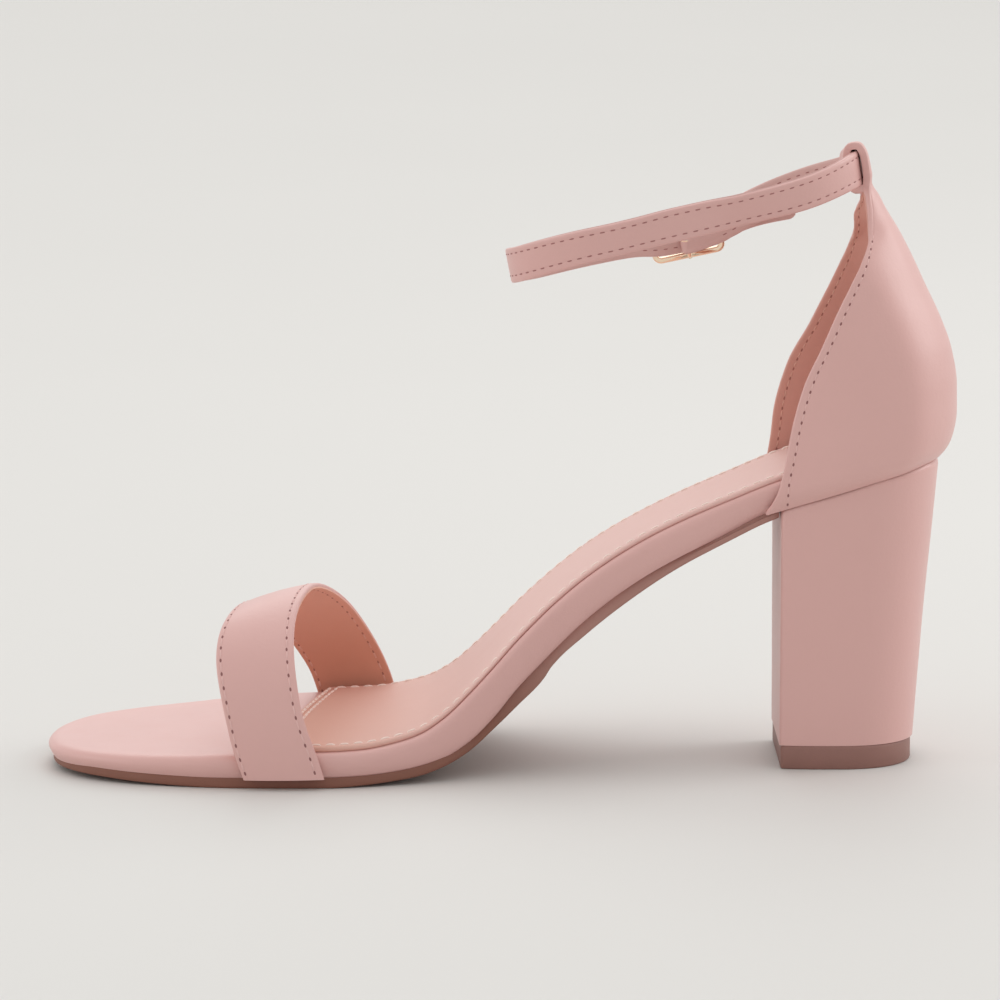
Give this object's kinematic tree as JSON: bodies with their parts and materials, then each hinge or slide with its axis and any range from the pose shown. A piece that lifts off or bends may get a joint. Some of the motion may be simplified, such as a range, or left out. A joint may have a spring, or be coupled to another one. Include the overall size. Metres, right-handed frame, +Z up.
{
  "type": "heeled sandal",
  "caption": "Open-toe block-heel sandal with a broad vamp strap, a closed heel counter and a buckled ankle strap threaded through a loop at the counter's top.",
  "frame": {"origin": "middle of the bounding box in plan, on the floor plane that the heel lift and the forefoot rest on", "axes": "+X from toe to heel, +Y to the lateral side, +Z up"},
  "size_m": [0.2304, 0.0895, 0.1571],
  "materials": {
    "blush_leather": "smooth, satin",
    "sock_leather": "smooth, satin",
    "heel_cover": "smooth, satin",
    "outsole_rubber": "matte",
    "lift_rubber": "matte",
    "rose_gold": "polished plate"
  },
  "bodies": {
    "root": {"outsole": "outsole_rubber", "board": "blush_leather", "sock": "sock_leather", "heel_block": "heel_cover", "heel_lift": "lift_rubber", "vamp_strap": "blush_leather", "counter": "blush_leather", "ankle_strap": "blush_leather", "buckle_frame": "rose_gold", "buckle_prong": "rose_gold"}
  },
  "joints": []
}
